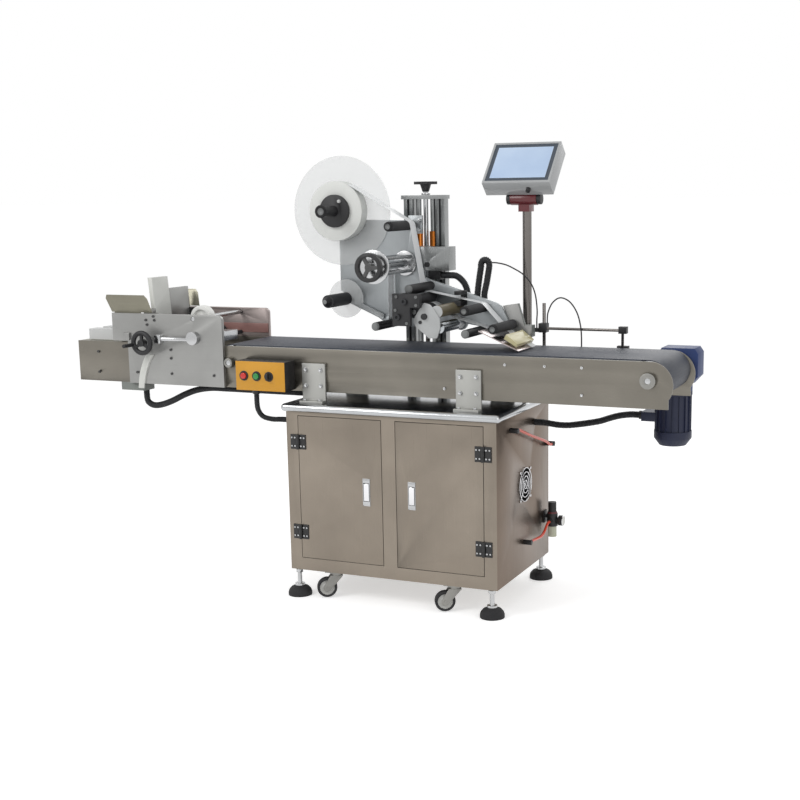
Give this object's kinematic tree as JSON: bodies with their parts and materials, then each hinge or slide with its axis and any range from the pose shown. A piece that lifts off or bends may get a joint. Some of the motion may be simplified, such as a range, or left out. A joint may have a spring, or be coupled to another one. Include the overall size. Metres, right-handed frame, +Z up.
{
  "type": "flat surface labelling machine",
  "caption": "Flat surface labelling machine: friction feeder, belt conveyor, height-adjustable label head with unwinder, peel plate and rewinder, tilting screen and steel cabinet.",
  "frame": {"origin": "on the floor, at the middle of the machine's outline", "axes": "+Z up, +X along the belt's travel from the feeder to the drive, -Y towards the operator"},
  "size_m": [2.316, 0.6279, 1.5996],
  "materials": {
    "cabinet_steel": "brushed, satin",
    "polished_steel": "polished",
    "rail_steel": "brushed",
    "black_metal": "satin black paint",
    "zinc_steel": "zinc plated",
    "chrome_parts": "bright",
    "anodised": "clear anodised",
    "black_rubber": "matte",
    "belt_pvc": "woven top, matte",
    "black_plastic": "matte",
    "spindle_plastic": "satin",
    "yellow_paint": "gloss yellow cover on a black base",
    "red_plastic": "gloss",
    "green_plastic": "gloss",
    "white_plastic": "smooth",
    "label_paper": "coated",
    "screen_metal": "silver with a dark bezel",
    "blue_paint": "gloss",
    "gear_paint": "gloss"
  },
  "bodies": {
    "frame": {"cabinet_shell": "cabinet_steel", "table_top": "polished_steel", "hinge_leaves": "black_metal", "caster_brackets": "zinc_steel", "fan_guard": "chrome_parts", "air_regulator": "black_plastic", "electrical_panel": "black_plastic", "front_rail": "rail_steel", "rear_rail": "rail_steel", "slider_bed": "polished_steel", "conveyor_belt": "belt_pvc", "roller_bearings": "rail_steel", "support_brackets": "anodised", "machine_screws": "polished_steel", "gearbox": "gear_paint", "drive_motor": "blue_paint", "feeder_front_plate": "anodised", "feeder_rear_plate": "anodised", "feed_belts": "black_rubber", "hopper_guides": "rail_steel", "control_box": "yellow_paint", "lift_frame": "anodised", "screen_post": "zinc_steel", "sensor_stand": "zinc_steel", "hoses_and_cables": "black_plastic"},
    "left_door": {"left_door": "cabinet_steel"},
    "right_door": {"right_door": "cabinet_steel"},
    "left_latch": {"left_latch": "chrome_parts"},
    "right_latch": {"right_latch": "chrome_parts"},
    "levelling_feet": {"levelling_feet": "black_rubber"},
    "left_caster_fork": {"left_caster_fork": "zinc_steel"},
    "right_caster_fork": {"right_caster_fork": "zinc_steel"},
    "left_caster_wheel": {"left_caster_wheel": "black_rubber"},
    "right_caster_wheel": {"right_caster_wheel": "black_rubber"},
    "rear_caster_wheels": {"rear_caster_wheels": "black_rubber"},
    "fan_rotor": {"fan_rotor": "black_plastic"},
    "drive_roller": {"drive_roller": "polished_steel"},
    "tail_roller": {"tail_roller": "polished_steel"},
    "feeder_handwheel": {"feeder_handwheel": "black_metal"},
    "feeder_gate": {"feeder_gate": "anodised"},
    "press_wheel": {"press_wheel": "white_plastic"},
    "red_button": {"red_button": "red_plastic"},
    "green_button": {"green_button": "green_plastic"},
    "selector_knob": {"selector_knob": "black_plastic"},
    "screen_box": {"screen_box": "screen_metal"},
    "lift_screw": {"lift_screw": "black_metal"},
    "label_head": {"head_carriage": "anodised", "head_plate": "anodised", "stepper_motor": "black_plastic", "peel_plate": "anodised", "label_web": "label_paper"},
    "unwinder": {"label_roll": "label_paper", "unwind_spindle": "spindle_plastic"},
    "rewind_spool": {"rewind_spool": "chrome_parts"},
    "dancer_arm": {"dancer_arm": "anodised"},
    "feed_roller": {"feed_roller": "black_rubber"},
    "pinch_roller": {"pinch_roller": "black_rubber"},
    "upper_idler": {"upper_idler": "black_plastic"},
    "outfeed_idler": {"outfeed_idler": "black_plastic"},
    "peel_idler": {"peel_idler": "black_plastic"}
  },
  "joints": [
    {"name": "left_door_hinge", "type": "hinge", "parent": "frame", "child": "left_door", "pos_m": [-0.186, -0.259, 0.403], "axis": [0, 0, -1], "range_deg": [0, 110]},
    {"name": "right_door_hinge", "type": "hinge", "parent": "frame", "child": "right_door", "pos_m": [0.52, -0.259, 0.403], "axis": [0, 0, 1], "range_deg": [0, 110]},
    {"name": "left_latch_pull", "type": "hinge", "parent": "left_door", "child": "left_latch", "pos_m": [0.08, -0.2545, 0.43304], "axis": [-1, 0, 0], "range_deg": [0, 40], "stiffness_Nm_per_rad": 0.05},
    {"name": "right_latch_pull", "type": "hinge", "parent": "right_door", "child": "right_latch", "pos_m": [0.254, -0.2545, 0.43304], "axis": [-1, 0, 0], "range_deg": [0, 40], "stiffness_Nm_per_rad": 0.05},
    {"name": "feet_levelling", "type": "slide", "parent": "frame", "child": "levelling_feet", "axis": [0, 0, -1], "range_m": [0, 0.02]},
    {"name": "left_caster_swivel", "type": "hinge", "parent": "frame", "child": "left_caster_fork", "pos_m": [-0.068, -0.218, 0.088], "axis": [0, 0, 1], "continuous": true},
    {"name": "left_wheel_roll", "type": "hinge", "parent": "left_caster_fork", "child": "left_caster_wheel", "pos_m": [-0.09831, -0.2355, 0.038], "axis": [0.5, -0.866, 0], "continuous": true},
    {"name": "right_caster_swivel", "type": "hinge", "parent": "frame", "child": "right_caster_fork", "pos_m": [0.395, -0.218, 0.088], "axis": [0, 0, 1], "continuous": true},
    {"name": "right_wheel_roll", "type": "hinge", "parent": "right_caster_fork", "child": "right_caster_wheel", "pos_m": [0.36469, -0.2355, 0.038], "axis": [0.5, -0.866, 0], "continuous": true},
    {"name": "rear_wheel_roll", "type": "hinge", "parent": "frame", "child": "rear_caster_wheels", "pos_m": [-0.068, 0.232, 0.038], "axis": [1, 0, 0], "continuous": true},
    {"name": "fan_spin", "type": "hinge", "parent": "frame", "child": "fan_rotor", "pos_m": [0.55, 0.022, 0.41012], "axis": [1, 0, 0], "continuous": true},
    {"name": "drive_roller_turn", "type": "hinge", "parent": "frame", "child": "drive_roller", "pos_m": [1.067, -0.045, 0.833], "axis": [0, 1, 0], "continuous": true},
    {"name": "tail_roller_turn", "type": "hinge", "parent": "frame", "child": "tail_roller", "pos_m": [-0.49, -0.045, 0.833], "axis": [0, 1, 0], "continuous": true},
    {"name": "gate_lift", "type": "slide", "parent": "frame", "child": "feeder_gate", "axis": [0, 0, 1], "range_m": [0, 0.04]},
    {"name": "gate_wheel_turn", "type": "hinge", "parent": "frame", "child": "feeder_handwheel", "pos_m": [-0.829, -0.262, 0.9], "axis": [0, 1, 0], "range_deg": [0, 160]},
    {"name": "press_wheel_turn", "type": "hinge", "parent": "frame", "child": "press_wheel", "pos_m": [-0.633, -0.147, 0.9884], "axis": [0, 1, 0], "continuous": true},
    {"name": "red_button_press", "type": "slide", "parent": "frame", "child": "red_button", "axis": [0, 1, 0], "range_m": [0, 0.005], "stiffness_N_per_m": 300},
    {"name": "green_button_press", "type": "slide", "parent": "frame", "child": "green_button", "axis": [0, 1, 0], "range_m": [0, 0.005], "stiffness_N_per_m": 300},
    {"name": "selector_turn", "type": "hinge", "parent": "frame", "child": "selector_knob", "pos_m": [-0.285, -0.274, 0.799], "axis": [0, 1, 0], "range_deg": [-45, 45]},
    {"name": "screen_tilt", "type": "hinge", "parent": "frame", "child": "screen_box", "pos_m": [0.531, 0.128, 1.405], "axis": [1, 0, 0], "range_deg": [-20, 20]},
    {"name": "head_lift", "type": "slide", "parent": "frame", "child": "label_head", "axis": [0, 0, 1], "range_m": [0, 0.11]},
    {"name": "lift_screw_turn", "type": "hinge", "parent": "frame", "child": "lift_screw", "pos_m": [0.15, 0.136, 1.2], "axis": [0, 0, 1], "range_deg": [0, 4000]},
    {"name": "unwinder_turn", "type": "hinge", "parent": "label_head", "child": "unwinder", "pos_m": [-0.14108, 0, 1.37017], "axis": [0, 1, 0], "continuous": true},
    {"name": "rewinder_turn", "type": "hinge", "parent": "label_head", "child": "rewind_spool", "pos_m": [0.10809, 0, 1.184], "axis": [0, 1, 0], "continuous": true},
    {"name": "dancer_swing", "type": "hinge", "parent": "label_head", "child": "dancer_arm", "pos_m": [0.01204, 0.038, 0.99313], "axis": [0, 1, 0], "range_deg": [0, 30], "stiffness_Nm_per_rad": 4, "springref_deg": -57.3},
    {"name": "feed_roller_turn", "type": "hinge", "parent": "label_head", "child": "feed_roller", "pos_m": [0.2278, 0, 1.02814], "axis": [0, 1, 0], "continuous": true},
    {"name": "pinch_roller_turn", "type": "hinge", "parent": "label_head", "child": "pinch_roller", "pos_m": [0.21371, 0, 1.06686], "axis": [0, 1, 0], "continuous": true},
    {"name": "upper_idler_turn", "type": "hinge", "parent": "label_head", "child": "upper_idler", "pos_m": [0.13523, 0, 1.31808], "axis": [0, 1, 0], "continuous": true},
    {"name": "outfeed_idler_turn", "type": "hinge", "parent": "label_head", "child": "outfeed_idler", "pos_m": [0.41398, 0, 1.03412], "axis": [0, 1, 0], "continuous": true},
    {"name": "peel_idler_turn", "type": "hinge", "parent": "label_head", "child": "peel_idler", "pos_m": [0.51664, 0, 0.97605], "axis": [0, 1, 0], "continuous": true}
  ],
  "couplings": [
    {"joint": "tail_roller_turn", "follows": "drive_roller_turn", "ratio": 1},
    {"joint": "gate_wheel_turn", "follows": "gate_lift", "rad_per_m": 62.5},
    {"joint": "lift_screw_turn", "follows": "head_lift", "rad_per_m": 628.32},
    {"joint": "pinch_roller_turn", "follows": "feed_roller_turn", "ratio": -1.2222}
  ]
}
